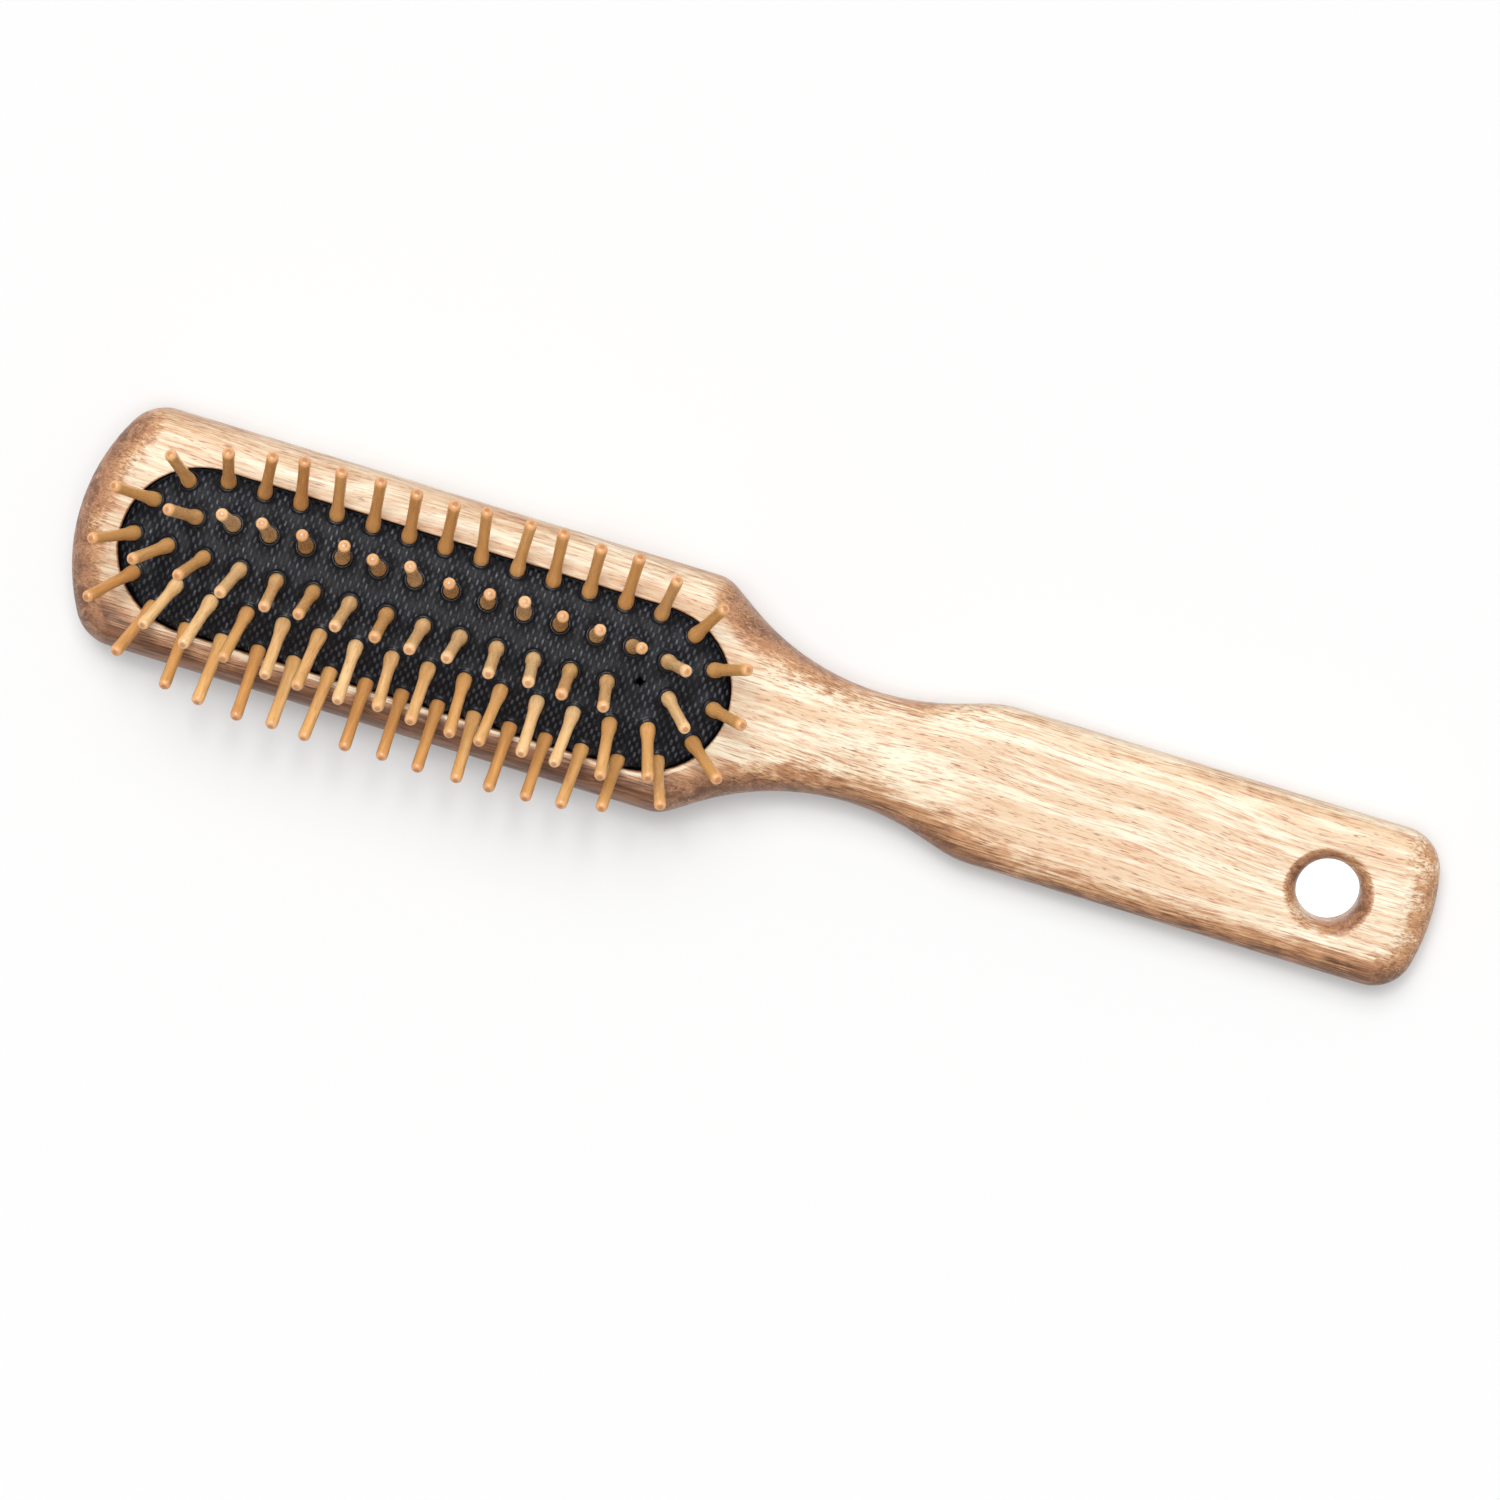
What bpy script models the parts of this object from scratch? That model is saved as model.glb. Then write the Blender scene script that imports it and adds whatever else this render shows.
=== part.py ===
"""Pneumatic vanity hairbrush: a one-piece beech body, a rubber air cushion and wooden pins.

Frame, in metres: +X from the toe of the head to the end of the handle, +Y to the left side,
+Z up out of the cushion. The origin is under the middle of the brush, on its flat back.
"""

import math
import random

import bmesh
import bpy
from mathutils import Vector

MM = 0.001
COLLECTION = "vanity_hairbrush"

# Wood body
BODY_LENGTH = 220 * MM
BODY_THICKNESS = 12 * MM
HANDLE_THICKNESS = 9.3 * MM
TAPER_START = 108 * MM  # from the toe, just past the pocket
TAPER_END = 152 * MM
EDGE_ROUND = 4.5 * MM
EDGE_SEGMENTS = 4
# One side of the outline from the toe to the handle's end, as a polygon whose corners are
# filleted: distance from the toe, half width, fillet radius.
OUTLINE_CORNERS = (
    (-4.2 * MM, 0, 32 * MM),  # blunt toe
    (6 * MM, 19.2 * MM, 7 * MM),  # toe corner
    (100.1 * MM, 19.2 * MM, 6 * MM),  # shoulder of the head
    (121.2 * MM, 4.85 * MM, 40 * MM),  # waist
    (146.3 * MM, 12.75 * MM, 19 * MM),  # shoulder of the handle
    (218 * MM, 12.75 * MM, 6.6 * MM),  # end corner
    (220.86 * MM, 0, 34 * MM),  # blunt end
)
ARC_STEP = math.radians(12)

# Hanging hole, countersunk from both faces
HOLE_FROM_END = 16.7 * MM
HOLE_RADIUS = 5.0 * MM
COUNTERSINK_RADIUS = 7.4 * MM
COUNTERSINK_DEPTH = 3.3 * MM
HOLE_SIDES = 24

# Pocket for the cushion: a slot with round ends, undercut by a groove for the rim
PAD_FROM_TOE = 56.6 * MM
POCKET_HALF_STRAIGHT = 36 * MM
POCKET_RADIUS = 13.2 * MM
POCKET_FLOOR = 4 * MM
LIP_THICKNESS = 1.2 * MM
GROOVE_HEIGHT = 1.4 * MM
GROOVE_DEPTH = 1.6 * MM

# Cushion: the dome is a stack of slot-shaped rings, each with its own straight length
GAP = 0.3 * MM
DOME_RADIUS = 18.5 * MM
CROWN_HEIGHT = 5 * MM  # above the wood's face
CREST_HALF_LENGTH = 24 * MM
MEMBRANE = 1.5 * MM
DOME_RINGS = 5
END_SEGMENTS = 8
PIN_HOLE_RADIUS = 1.6 * MM
VENT = Vector((34.9 * MM, 1.3 * MM, 0))
VENT_RADIUS = 1 * MM

# Pins, measured along their own axis from the cushion's surface
PIN_LENGTH = 14 * MM
SHAFT_RADIUS = 0.9 * MM
FOOT_RADIUS = 1.3 * MM
FOOT_TOP = 0.8 * MM
FLARE_TOP = 3.2 * MM
TIP_ROUND = 0.8 * MM
HEAD_RADIUS = 1.7 * MM
HEAD_TOP = -2.7 * MM
HEAD_BOTTOM = -3.9 * MM
PIN_SIDES = 8
WEB_WIDTH = 1.4 * MM
WEB_HEIGHT = 0.9 * MM

# Pin field: an outer ring round three inner rows
RING_RADIUS = 11.8 * MM
RING_PITCH = 5.83 * MM
RING_PINS = 13
RING_END_ANGLES = (-60, -30, 0, 30, 60)
SIDE_ROW_OFFSET = 6.28 * MM
SIDE_ROW_END_OFFSET = 5.5 * MM
SIDE_ROW_PITCH = 5.86 * MM
ROW_PINS = 14
CENTRE_ROW_START = -41.1 * MM
CENTRE_ROW_PITCH = 5.925 * MM
CENTRE_ROW_LAST = 39.8 * MM  # stands beyond the vent

# Pins fan outwards, in degrees: sideways in proportion to their offset, and lengthways near
# the ends. Hand setting adds a small scatter.
SIDE_LEAN = 41
SIDE_LEAN_FADE_FROM = 22 * MM
SIDE_LEAN_FADE = 0.0165 / MM
OUTER_LEAN_TWIST = 0.12 / MM  # the outer ring leans further left towards the waist
INNER_LEAN_OFFSET = -6  # the inner rows lean a little to the right
END_LEAN = 23.5
END_LEAN_FROM = 24 * MM
END_LEAN_SPAN = 22.8 * MM
END_LEAN_POWER = 1.5
END_LEAN_SIDE_EASE = 0.7  # pins at the sides lean less towards the ends
LEAN_SCATTER_ALONG = 3
LEAN_SCATTER_ACROSS = 2.6
SCATTER_SEED = 439450

CLEAR = 1 * MM  # how far a cutter passes the faces that it cuts
BEECH = (0.72, 0.50, 0.31)
PIN_WOOD = (0.62, 0.38, 0.19)
RUBBER = (0.018, 0.021, 0.028)


def clear_scene():
    for obj in list(bpy.data.objects):
        bpy.data.objects.remove(obj)


def make_collection(name):
    collection = bpy.data.collections.new(name)
    bpy.context.scene.collection.children.link(collection)
    return collection


def make_material(name, colour, roughness):
    material = bpy.data.materials.new(name)
    material.use_nodes = True
    shader = material.node_tree.nodes["Principled BSDF"]
    shader.inputs["Base Color"].default_value = (*colour, 1)
    shader.inputs["Roughness"].default_value = roughness
    shader.inputs["Metallic"].default_value = 0
    return material


def add_object(name, mesh, collection, material=None):
    obj = bpy.data.objects.new(name, mesh)
    collection.objects.link(obj)
    if material and not mesh.materials:
        mesh.materials.append(material)
    return obj


def mark_as_helper(obj):
    obj.hide_render = True
    obj.display_type = "WIRE"
    return obj


def boolean(obj, other, operation):
    modifier = obj.modifiers.new(f"{operation} {other.name}", "BOOLEAN")
    modifier.operation = operation
    modifier.solver = "EXACT"
    modifier.object = other


def mesh_from(bm, name, smooth_angle=None):
    bmesh.ops.recalc_face_normals(bm, faces=bm.faces)
    mesh = bpy.data.meshes.new(name)
    bm.to_mesh(mesh)
    bm.free()
    if smooth_angle is not None:
        mesh.shade_smooth()
        mesh.set_sharp_from_angle(angle=math.radians(smooth_angle))
    return mesh


# Outlines


def fillet(before, corner, after, radius):
    """Points of the arc that rounds one corner of a polygon."""
    back = (before - corner).normalized()
    ahead = (after - corner).normalized()
    turn = math.pi - back.angle(ahead)
    reach = radius * math.tan(turn / 2)
    start = corner + back * reach
    centre = corner + (back + ahead).normalized() * math.hypot(radius, reach)
    steps = max(1, round(turn / ARC_STEP))
    side = 1 if back.cross(ahead) < 0 else -1
    spoke = start - centre
    points = []
    for i in range(steps + 1):
        angle = side * turn * i / steps
        cos, sin = math.cos(angle), math.sin(angle)
        points.append(centre + Vector((spoke.x * cos - spoke.y * sin, spoke.x * sin + spoke.y * cos)))
    return points


def filleted(corners):
    """A closed outline from a list of (point, fillet radius)."""
    points = []
    for i, (corner, radius) in enumerate(corners):
        before = corners[i - 1][0]
        after = corners[(i + 1) % len(corners)][0]
        points += fillet(before, corner, after, radius)
    return points


def body_outline():
    half = [(Vector((x - BODY_LENGTH / 2, y)), radius) for x, y, radius in OUTLINE_CORNERS]
    other = [(Vector((p.x, -p.y)), radius) for p, radius in half[1:-1]]
    return filleted(half + other[::-1])


def slot_outline(half_straight, radius):
    """A slot with round ends, centred on the pad."""
    end = half_straight + radius
    corners = ((end, radius), (end, -radius), (-end, -radius), (-end, radius))
    centre = Vector((pad_centre_x(), 0))
    return filleted([(centre + Vector(corner), radius) for corner in corners])


def pad_centre_x():
    return PAD_FROM_TOE - BODY_LENGTH / 2


def plate_mesh(name, outline, low, high):
    """The solid between two heights inside an outline, from a filled and extruded curve."""
    curve = bpy.data.curves.new(name, "CURVE")
    curve.dimensions = "2D"
    curve.fill_mode = "BOTH"
    curve.extrude = (high - low) / 2
    spline = curve.splines.new("POLY")
    spline.points.add(len(outline) - 1)
    for point, place in zip(spline.points, outline):
        point.co = (place.x, place.y, 0, 1)
    spline.use_cyclic_u = True
    guide = bpy.data.objects.new(name, curve)
    bpy.context.scene.collection.objects.link(guide)
    evaluated = guide.evaluated_get(bpy.context.evaluated_depsgraph_get())
    bm = bmesh.new()
    bm.from_mesh(bpy.data.meshes.new_from_object(evaluated))
    bpy.data.objects.remove(guide)
    bmesh.ops.remove_doubles(bm, verts=bm.verts, dist=0.01 * MM)
    bmesh.ops.dissolve_limit(bm, angle_limit=math.radians(1), verts=bm.verts, edges=bm.edges)
    bmesh.ops.translate(bm, verts=bm.verts, vec=(0, 0, (low + high) / 2))
    return mesh_from(bm, name, smooth_angle=30)


# Turned shapes


def turned(name, profile, sides, collection, material=None):
    """An object that spins a profile, listed from top to bottom as (radius, height)."""
    mesh = bpy.data.meshes.new(name)
    vertices = [(radius, 0, height) for radius, height in profile]
    edges = [(i, i + 1) for i in range(len(profile) - 1)]
    mesh.from_pydata(vertices, edges, [])
    obj = add_object(name, mesh, collection, material)
    add_screw(obj, sides)
    return obj


def add_screw(obj, sides):
    screw = obj.modifiers.new("Screw", "SCREW")
    screw.steps = sides
    screw.render_steps = sides
    screw.use_merge_vertices = True
    screw.merge_threshold = 0.01 * MM
    screw.use_smooth_shade = True


# Wood body


def make_body(collection, cutters, material):
    outline = body_outline()
    mesh = plate_mesh("wood_body", outline, 0, BODY_THICKNESS)
    body = add_object("wood_body", mesh, collection, material)
    boolean(body, taper_cutter(cutters), "DIFFERENCE")
    bevel = body.modifiers.new("Rounded edges", "BEVEL")
    bevel.width = EDGE_ROUND
    bevel.segments = EDGE_SEGMENTS
    bevel.limit_method = "ANGLE"
    bevel.angle_limit = math.radians(60)
    bevel.use_clamp_overlap = False
    for cutter in (pocket_cutter(cutters), groove_cutter(cutters), hole_cutter(cutters)):
        boolean(body, cutter, "DIFFERENCE")
    return body


def taper_cutter(cutters):
    """A wedge over the neck and handle, which leaves them thinner than the head."""
    start, end = TAPER_START - BODY_LENGTH / 2, TAPER_END - BODY_LENGTH / 2
    slope = (BODY_THICKNESS - HANDLE_THICKNESS) / (end - start)
    top, far = BODY_THICKNESS + CLEAR, BODY_LENGTH / 2 + CLEAR
    first = start - CLEAR / slope
    side = ((first, top), (end, HANDLE_THICKNESS), (far, HANDLE_THICKNESS), (far, top))
    half_width = BODY_LENGTH / 8
    bm = bmesh.new()
    face = bm.faces.new([bm.verts.new((x, -half_width, z)) for x, z in side])
    made = bmesh.ops.extrude_face_region(bm, geom=[face])
    moved = [item for item in made["geom"] if isinstance(item, bmesh.types.BMVert)]
    bmesh.ops.translate(bm, verts=moved, vec=(0, 2 * half_width, 0))
    return mark_as_helper(add_object("taper", mesh_from(bm, "taper"), cutters))


def pocket_cutter(cutters):
    outline = slot_outline(POCKET_HALF_STRAIGHT, POCKET_RADIUS)
    mesh = plate_mesh("pocket", outline, POCKET_FLOOR, BODY_THICKNESS + CLEAR)
    return mark_as_helper(add_object("pocket", mesh, cutters))


def groove_cutter(cutters):
    top = BODY_THICKNESS - LIP_THICKNESS
    outline = slot_outline(POCKET_HALF_STRAIGHT, POCKET_RADIUS + GROOVE_DEPTH)
    mesh = plate_mesh("rim_groove", outline, top - GROOVE_HEIGHT, top)
    return mark_as_helper(add_object("rim_groove", mesh, cutters))


def hole_cutter(cutters):
    profile = (
        (0, HANDLE_THICKNESS + CLEAR),
        (COUNTERSINK_RADIUS + CLEAR, HANDLE_THICKNESS + CLEAR),
        (HOLE_RADIUS, HANDLE_THICKNESS - COUNTERSINK_DEPTH),
        (HOLE_RADIUS, COUNTERSINK_DEPTH),
        (COUNTERSINK_RADIUS + CLEAR, -CLEAR),
        (0, -CLEAR),
    )
    cutter = turned("hanging_hole", profile, HOLE_SIDES, cutters)
    cutter.location.x = BODY_LENGTH / 2 - HOLE_FROM_END
    return mark_as_helper(cutter)


# Cushion


def dome_edge():
    return POCKET_RADIUS - GAP


def ring_straight(radius):
    """Half the straight length of the dome's ring of this radius."""
    growth = (POCKET_HALF_STRAIGHT - CREST_HALF_LENGTH) / dome_edge()
    return min(POCKET_HALF_STRAIGHT, CREST_HALF_LENGTH + growth * radius)


def ring_radius_at(x, y):
    """The radius of the dome's ring that passes through a point given from the pad's centre."""
    growth = (POCKET_HALF_STRAIGHT - CREST_HALF_LENGTH) / dome_edge()
    beyond = abs(x) - CREST_HALF_LENGTH
    if beyond <= growth * abs(y):
        return abs(y)
    rest = 1 - growth**2
    root = math.sqrt((beyond * growth) ** 2 + rest * (beyond**2 + y**2))
    return (root - beyond * growth) / rest


def dome_height(radius, inset=0):
    """Height of the dome over the wood's back, on a ring, with inset 0 at the outer skin."""
    arc = DOME_RADIUS - inset
    centre = BODY_THICKNESS + CROWN_HEIGHT - DOME_RADIUS
    return centre + math.sqrt(arc**2 - radius**2)


def cushion_profile():
    """(ring radius, height) from the crown over the skin, round the rim and back inside."""
    edge = dome_edge()
    inner_edge = edge - 0.7 * MM
    rim_top = BODY_THICKNESS - LIP_THICKNESS - GAP
    rim_bottom = rim_top - GROOVE_HEIGHT + 2 * GAP
    rim_out = POCKET_RADIUS + GROOVE_DEPTH - GAP
    steps = [i / DOME_RINGS for i in range(DOME_RINGS + 1)]
    skin = [(edge * s, dome_height(edge * s)) for s in steps]
    rim = [(edge, rim_top), (rim_out, rim_top), (rim_out, rim_bottom), (inner_edge, rim_bottom)]
    lining = [(inner_edge * s, dome_height(inner_edge * s, MEMBRANE)) for s in reversed(steps)]
    return skin + rim + lining


def slot_ring(radius, height):
    """Points round one ring of the dome, the same number on every ring."""
    straight = ring_straight(radius)
    points = []
    for side in (1, -1):
        for i in range(END_SEGMENTS + 1):
            angle = math.pi * (i / END_SEGMENTS - 0.5)
            x = side * (straight + radius * math.cos(angle))
            y = side * radius * math.sin(angle)
            points.append((pad_centre_x() + x, y, height))
    return points


def cushion_mesh():
    """A loft through the rings, because no ring is a scaled copy of the next."""
    bm = bmesh.new()
    rings = []
    for radius, height in cushion_profile():
        rings.append([bm.verts.new(point) for point in slot_ring(radius, height)])
    for ring, following in zip(rings, rings[1:]):
        count = len(ring)
        for i in range(count):
            j = (i + 1) % count
            bm.faces.new((ring[i], ring[j], following[j], following[i]))
    bmesh.ops.remove_doubles(bm, verts=bm.verts, dist=0.01 * MM)
    return mesh_from(bm, "cushion", smooth_angle=40)


def make_cushion(collection, cutters, material, pins):
    cushion = add_object("cushion", cushion_mesh(), collection, material)
    bm = bmesh.new()
    for base, direction in pins:
        add_rod(bm, base + direction * HEAD_TOP, base + direction * FLARE_TOP, PIN_HOLE_RADIUS)
    vent = Vector((pad_centre_x(), 0, BODY_THICKNESS + CROWN_HEIGHT)) + VENT
    add_rod(bm, vent - Vector((0, 0, PIN_LENGTH / 2)), vent + Vector((0, 0, CLEAR)), VENT_RADIUS)
    holes = add_object("cushion_holes", mesh_from(bm, "cushion_holes"), cutters)
    boolean(cushion, mark_as_helper(holes), "DIFFERENCE")
    return cushion


def add_rod(bm, low, high, radius):
    """A straight closed cylinder between two points."""
    span = high - low
    made = bmesh.ops.create_cone(
        bm,
        cap_ends=True,
        segments=PIN_SIDES,
        radius1=radius,
        radius2=radius,
        depth=span.length,
    )
    turn = Vector((0, 0, 1)).rotation_difference(span).to_matrix().to_4x4()
    turn.translation = (low + high) / 2
    bmesh.ops.transform(bm, matrix=turn, verts=made["verts"])


# Pins


def ring_places():
    """Named places of the outer ring, from the pad's centre."""
    half = RING_PITCH * (RING_PINS - 1) / 2
    places = []
    for i in range(RING_PINS):
        places.append((f"left_ring_pin_{i + 1:02d}", i * RING_PITCH - half, RING_RADIUS))
        places.append((f"right_ring_pin_{i + 1:02d}", i * RING_PITCH - half, -RING_RADIUS))
    for i, degrees in enumerate(RING_END_ANGLES):
        angle = math.radians(degrees)
        x = half + RING_RADIUS * math.cos(angle)
        y = RING_RADIUS * math.sin(angle)
        places.append((f"toe_ring_pin_{i + 1}", -x, y))
        places.append((f"waist_ring_pin_{i + 1}", x, y))
    return places


def side_row_places(side):
    """The 14 pins of an inner side row. The end ones stand a little closer to the middle."""
    places = []
    for i in range(ROW_PINS):
        at_end = i in (0, ROW_PINS - 1)
        offset = SIDE_ROW_END_OFFSET if at_end else SIDE_ROW_OFFSET
        places.append(((i - (ROW_PINS - 1) / 2) * SIDE_ROW_PITCH, side * offset))
    return places


def centre_row_places():
    places = [(CENTRE_ROW_START + i * CENTRE_ROW_PITCH, 0) for i in range(ROW_PINS - 1)]
    return places + [(CENTRE_ROW_LAST, 0)]


def pin_pose(x, y, outer, scatter):
    """(base point, unit direction) of the pin at a place given from the pad's centre."""
    fade = 1 - SIDE_LEAN_FADE * max(0, abs(x) - SIDE_LEAN_FADE_FROM)
    across = SIDE_LEAN * y / RING_RADIUS * fade
    across += OUTER_LEAN_TWIST * x if outer else INNER_LEAN_OFFSET
    beyond = max(0, abs(x) - END_LEAN_FROM) / END_LEAN_SPAN
    ease = 1 - END_LEAN_SIDE_EASE * (y / RING_RADIUS) ** 6
    along = math.copysign(END_LEAN * beyond**END_LEAN_POWER * ease, x)
    along += LEAN_SCATTER_ALONG * scatter.uniform(-1, 1)
    across += LEAN_SCATTER_ACROSS * scatter.uniform(-1, 1)
    lean_x = math.sin(math.radians(along))
    lean_y = math.sin(math.radians(across))
    direction = Vector((lean_x, lean_y, math.sqrt(1 - lean_x**2 - lean_y**2)))
    base = Vector((pad_centre_x() + x, y, dome_height(ring_radius_at(x, y))))
    return base, direction


def pin_profile():
    """(radius, distance from the cushion's surface) from the tip down to the hidden head."""
    return (
        (0, PIN_LENGTH),
        (SHAFT_RADIUS * 0.65, PIN_LENGTH - TIP_ROUND * 0.25),
        (SHAFT_RADIUS, PIN_LENGTH - TIP_ROUND),
        (SHAFT_RADIUS, FLARE_TOP),
        (FOOT_RADIUS, FOOT_TOP),
        (FOOT_RADIUS, HEAD_TOP),
        (HEAD_RADIUS, HEAD_TOP),
        (HEAD_RADIUS, HEAD_BOTTOM),
        (0, HEAD_BOTTOM),
    )


def place_pin(obj, pose):
    base, direction = pose
    obj.location = base
    obj.rotation_mode = "QUATERNION"
    obj.rotation_quaternion = Vector((0, 0, 1)).rotation_difference(direction)
    return obj


def make_pin(name, pose, collection, material):
    return place_pin(turned(name, pin_profile(), PIN_SIDES, collection, material), pose)


def make_pin_pair(name, first, second, collection, cutters, material):
    """Two neighbouring pins and the web that joins their heads inside the air chamber."""
    pair = make_pin(name, first, collection, material)
    partner = mark_as_helper(make_pin(name + "_partner", second, cutters, None))
    web = mark_as_helper(make_web(name + "_web", first, second, cutters))
    boolean(pair, partner, "UNION")
    boolean(pair, web, "UNION")
    return pair


def make_web(name, first, second, cutters):
    depth = (HEAD_TOP + HEAD_BOTTOM) / 2
    ends = [base + direction * depth for base, direction in (first, second)]
    span = ends[1] - ends[0]
    bm = bmesh.new()
    bmesh.ops.create_cube(bm, size=1)
    bmesh.ops.scale(bm, vec=(span.length, WEB_WIDTH, WEB_HEIGHT), verts=bm.verts)
    web = add_object(name, mesh_from(bm, name), cutters)
    web.location = (ends[0] + ends[1]) / 2
    web.rotation_mode = "QUATERNION"
    web.rotation_quaternion = Vector((1, 0, 0)).rotation_difference(span)
    return web


def make_pins(collection, cutters, material):
    """Every pin, one object each in the outer ring and one object a pair in the inner rows."""
    scatter = random.Random(SCATTER_SEED)
    poses = []
    for name, x, y in ring_places():
        poses.append(pin_pose(x, y, True, scatter))
        make_pin(name, poses[-1], collection, material)
    rows = (
        ("left_row_pins", side_row_places(1)),
        ("centre_row_pins", centre_row_places()),
        ("right_row_pins", side_row_places(-1)),
    )
    for row, places in rows:
        row_poses = [pin_pose(x, y, False, scatter) for x, y in places]
        poses += row_poses
        for i in range(0, len(places), 2):
            name = f"{row}_{i // 2 + 1}"
            make_pin_pair(name, row_poses[i], row_poses[i + 1], collection, cutters, material)
    return poses


def main():
    clear_scene()
    parts = make_collection(COLLECTION)
    cutters = make_collection("cutters")
    make_body(parts, cutters, make_material("waxed_beech", BEECH, 0.45))
    pins = make_pins(parts, cutters, make_material("pin_wood", PIN_WOOD, 0.35))
    make_cushion(parts, cutters, make_material("black_rubber", RUBBER, 0.5), pins)


main()
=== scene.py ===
"""Looks of the vanity hairbrush: beech body, textured rubber cushion and 78 turned wooden pins.

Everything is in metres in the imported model's frame: +X from the toe of the head to the end of
the handle, +Y to the left side, +Z up out of the cushion. Sizes repeat those of the CAD.
"""

import math
import random

import bmesh
import bpy
import numpy as np
from mathutils import Matrix, Vector
from mathutils.geometry import delaunay_2d_cdt


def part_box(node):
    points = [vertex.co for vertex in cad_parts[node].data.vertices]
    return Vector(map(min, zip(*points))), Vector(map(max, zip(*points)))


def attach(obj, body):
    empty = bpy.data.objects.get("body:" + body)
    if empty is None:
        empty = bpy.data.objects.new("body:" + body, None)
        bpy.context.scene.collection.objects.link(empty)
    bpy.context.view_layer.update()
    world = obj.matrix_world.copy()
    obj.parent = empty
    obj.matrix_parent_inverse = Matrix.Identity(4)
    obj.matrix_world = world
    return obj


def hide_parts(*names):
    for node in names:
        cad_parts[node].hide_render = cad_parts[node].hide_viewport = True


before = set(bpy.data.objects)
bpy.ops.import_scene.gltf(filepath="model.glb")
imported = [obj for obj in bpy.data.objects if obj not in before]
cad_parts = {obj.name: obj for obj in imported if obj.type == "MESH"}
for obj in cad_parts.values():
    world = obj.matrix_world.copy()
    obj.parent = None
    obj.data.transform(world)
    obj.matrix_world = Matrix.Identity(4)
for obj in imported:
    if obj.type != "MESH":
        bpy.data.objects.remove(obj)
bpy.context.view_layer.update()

MM = 0.001
ROOT = "brush_body"
PAD_LOW, PAD_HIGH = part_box("cushion")
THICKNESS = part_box("wood_body")[1].z
PAD_X = (PAD_LOW.x + PAD_HIGH.x) / 2
LENGTH = 220 * MM

# Body outline: distance from the toe, half width, fillet radius
OUTLINE_CORNERS = (
    (-4.2 * MM, 0, 32 * MM),
    (6 * MM, 19.2 * MM, 7 * MM),
    (100.1 * MM, 19.2 * MM, 6 * MM),
    (121.2 * MM, 4.85 * MM, 40 * MM),
    (146.3 * MM, 12.75 * MM, 19 * MM),
    (218 * MM, 12.75 * MM, 6.6 * MM),
    (220.86 * MM, 0, 34 * MM),
)
ARC_STEP = math.radians(3.5)
LINE_STEP = 1.6 * MM
ROUND_STEPS = 10
ROUND_DROP = 4.9 * MM  # how far the rounding runs down the side
ROUND_REACH = 4.3 * MM  # how far it runs in over the face, and how much more where stained
ROUND_EXTRA_REACH = 1.7 * MM
ROUND_ROOM = 0.8 * MM  # the rounding stays this much smaller than the outline's own fillets
ROUND_MARGIN = 0.4 * MM  # flat ring of the face before the rounding starts
ENDS_SLOPE = (0.15, 0.6)  # how far an outline's normal points lengthways
REACH_SMOOTHING = 6
WAIST_REACH = 0.85  # share of the extra reach that the waist gets, between these places
WAIST_START = (98 * MM, 108 * MM)
WAIST_END = (142 * MM, 154 * MM)
SAME_PLACE = 0.02 * MM
FACE_GRID = 3.5 * MM
FACE_ROWS = 5
FACE_CLEAR = 1.2 * MM
HOLE_X = LENGTH / 2 - 16.7 * MM
HOLE_RADIUS = 5 * MM
HOLE_SIDES = 72
COUNTERSINK_RADIUS = 7.4 * MM
COUNTERSINK_STEPS = 8
COUNTERSINK_MARGIN = 0.3 * MM
COUNTERSINK_DEPTH = 4.2 * MM  # before the handle's taper, which scales every height
HANDLE_THICKNESS = 9.3 * MM
TAPER_START = 108 * MM
TAPER_END = 152 * MM

# Brown stain and painted shade of the body, from 0 for the pale face to 1: painted shade on the
# right side, low on the sides, in the pocket and in the hanging hole
SIDE_STAIN = 0.2
# the right side is turned from the key light: its browning is partly stain, partly painted shade
RIGHT_STAIN_AND_SHADE = 0.5
RIGHT_TURN = (-0.5, 0.5)  # how far an outline's normal points to the right
SLOPE_STAIN = 0.42  # where the outline slopes, and how much less of it on the right side
SLOPE_STAIN_LESS = 0.1
SLOPE_SPAN = (0.06, 0.5)
CUT_SPAN = (0.05, 0.35)  # the slope over which the fibres come to be cut across
HANDLE_END_STAIN_LESS = 0.3
HANDLE_END = (90 * MM, 108 * MM)  # from the middle of the brush
HANDLE_END_SLOPE = (0.6, 1.0)
STAIN_SMOOTHING = 14
STAIN_ONSET = -0.1  # share of the way round the rounding, and how much sooner on the right side
STAIN_ONSET_SOONER = 0.35
STAIN_FULL = 0.75
# painted shade with stain: the lower half of the sides and the back are darkened, near the floor
BACK_STAIN_AND_SHADE = 0.8
TOE_STAIN = 0.12
TOE_STAIN_SPAN = (3 * MM, 13 * MM)
FACE_STAIN_AND_SHADE = 0.42  # on the face itself, along the right side of the head: partly stain, partly painted shade
FACE_STAIN_AND_SHADE_SPAN = (7 * MM, 13.5 * MM)
HEAD_END = (96 * MM, 112 * MM)
# painted shade: the pocket's walls below the lip are darkened, in the recess round the cushion
POCKET_PAINTED_SHADE = 0.5
HOLE_STAIN = 0.36  # all round the hanging hole, and more where its fibres are cut across, in a band turned onto the wall that faces from the light: partly stain, partly painted shade
HOLE_CUT_STAIN_AND_SHADE = 0.5
HOLE_STAIN_AND_SHADE_TURN = 0.5
HOLE_STAIN_FULL = 0.25

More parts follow.
